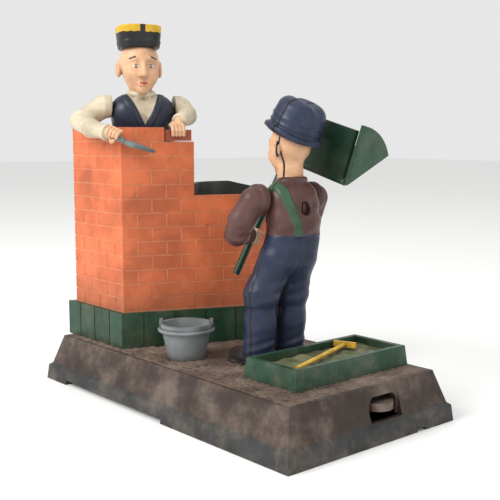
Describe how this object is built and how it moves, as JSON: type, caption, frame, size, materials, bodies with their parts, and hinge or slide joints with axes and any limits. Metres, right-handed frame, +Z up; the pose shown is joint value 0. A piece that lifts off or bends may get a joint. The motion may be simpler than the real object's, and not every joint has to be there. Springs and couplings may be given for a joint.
{
  "type": "mechanical coin bank",
  "caption": "Painted cast-iron mechanical bank: pressing an end lever tips a hod carrier's trough towards a brick hopper while a mason behind the wall lifts a brick and trowel.",
  "frame": {"origin": "centre of the plinth's rest plane, which is also the bottom centre of the whole part's box", "axes": "+X along the plinth towards the finger lever, +Y across it away from the bucket side, +Z up"},
  "size_m": [0.187, 0.1034, 0.1835],
  "materials": {
    "base_brown": "aged semi-gloss",
    "plate_black": "aged satin",
    "brick_red": "worn satin",
    "footing_green": "worn satin",
    "rim_green": "worn satin",
    "mason_navy": "worn gloss",
    "shirt_cream": "worn gloss",
    "tool_grey": "worn satin",
    "brick_dark": "worn satin",
    "carrier_maroon": "worn gloss",
    "hod_green": "worn gloss",
    "hod_light": "worn satin",
    "lever_iron": "rubbed bare",
    "spring_steel": "dull",
    "rod_steel": "dull",
    "box_green": "worn satin",
    "mortar_fill": "worn matte",
    "hoe_yellow": "worn satin"
  },
  "bodies": {
    "base": {"base_casting": "base_brown", "base_plate": "plate_black", "plate_screws": "rod_steel", "coin_trap_rivet": "rod_steel", "wall_front": "brick_red", "wall_rear": "brick_red", "wall_footing": "footing_green", "hopper": "rim_green", "wall_screws": "rod_steel", "pier_screws": "rod_steel", "mason_bracket": "plate_black", "bracket_screws": "rod_steel", "mason_front": "mason_navy", "mason_rear": "mason_navy", "mason_screws": "rod_steel", "carrier_front": "carrier_maroon", "carrier_rear": "carrier_maroon", "carrier_screw": "carrier_maroon", "foot_screws": "rod_steel", "lever_pin": "rod_steel", "transfer_pin": "rod_steel", "return_spring": "spring_steel", "mortar_box": "box_green", "mortar": "mortar_fill", "hoe": "hoe_yellow", "mortar_box_screws": "rod_steel", "bucket": "tool_grey", "bucket_screw": "rod_steel"},
    "finger_lever": {"finger_lever": "lever_iron"},
    "transfer_lever": {"transfer_lever": "lever_iron"},
    "push_rod": {"carrier_push_rod": "rod_steel"},
    "pull_rod": {"mason_pull_rod": "rod_steel"},
    "mason_arms": {"mason_arm_shaft": "rod_steel", "mason_arm_right": "shirt_cream", "mason_arm_left": "shirt_cream", "trowel": "tool_grey", "held_brick": "brick_dark"},
    "hod_arms": {"carrier_arm_shaft": "rod_steel", "carrier_arm_left": "carrier_maroon", "carrier_arm_right": "carrier_maroon", "hod_pole": "hod_green", "hod_trough": "hod_green", "hod_end_board": "hod_light"},
    "coin_trap": {"coin_trap": "plate_black"}
  },
  "joints": [
    {"name": "lever_press", "type": "hinge", "parent": "base", "child": "finger_lever", "pos_m": [0.062, 0.0085, 0.01], "axis": [0, 1, 0], "range_deg": [0, 5.5], "stiffness_Nm_per_rad": 0.4, "springref_deg": -11.46, "deforming": ["return_spring"]},
    {"name": "hod_tip", "type": "hinge", "parent": "base", "child": "hod_arms", "pos_m": [0.031, 0.003, 0.1], "axis": [0, -1, 0], "range_deg": [0, 24]},
    {"name": "push_rod_swing", "type": "hinge", "parent": "hod_arms", "child": "push_rod", "pos_m": [0.03669, 0.0075, 0.09879], "axis": [0, 1, 0], "range_deg": [0, 24]},
    {"name": "transfer_rock", "type": "hinge", "parent": "base", "child": "transfer_lever", "pos_m": [-0.01447, -0.00249, 0.0139], "axis": [0.2451, -0.9695, 0], "range_deg": [0, 4.05]},
    {"name": "pull_rod_swing", "type": "hinge", "parent": "mason_arms", "child": "pull_rod", "pos_m": [-0.05783, -0.01353, 0.14458], "axis": [0.3811, 0.9245, 0], "range_deg": [0, 36]},
    {"name": "mason_raise", "type": "hinge", "parent": "base", "child": "mason_arms", "pos_m": [-0.05332, -0.01538, 0.143], "axis": [-0.3811, -0.9245, 0], "range_deg": [0, 36]},
    {"name": "trap_swing", "type": "hinge", "parent": "base", "child": "coin_trap", "pos_m": [-0.03, -0.002, 0.0018], "axis": [0, 0, 1], "range_deg": [0, 90]}
  ],
  "couplings": [
    {"joint": "hod_tip", "follows": "lever_press", "ratio": 4.3636},
    {"joint": "push_rod_swing", "follows": "lever_press", "ratio": 4.3636},
    {"joint": "transfer_rock", "follows": "lever_press", "ratio": 0.73578},
    {"joint": "pull_rod_swing", "follows": "lever_press", "ratio": 6.5455},
    {"joint": "mason_raise", "follows": "lever_press", "ratio": 6.5455}
  ]
}
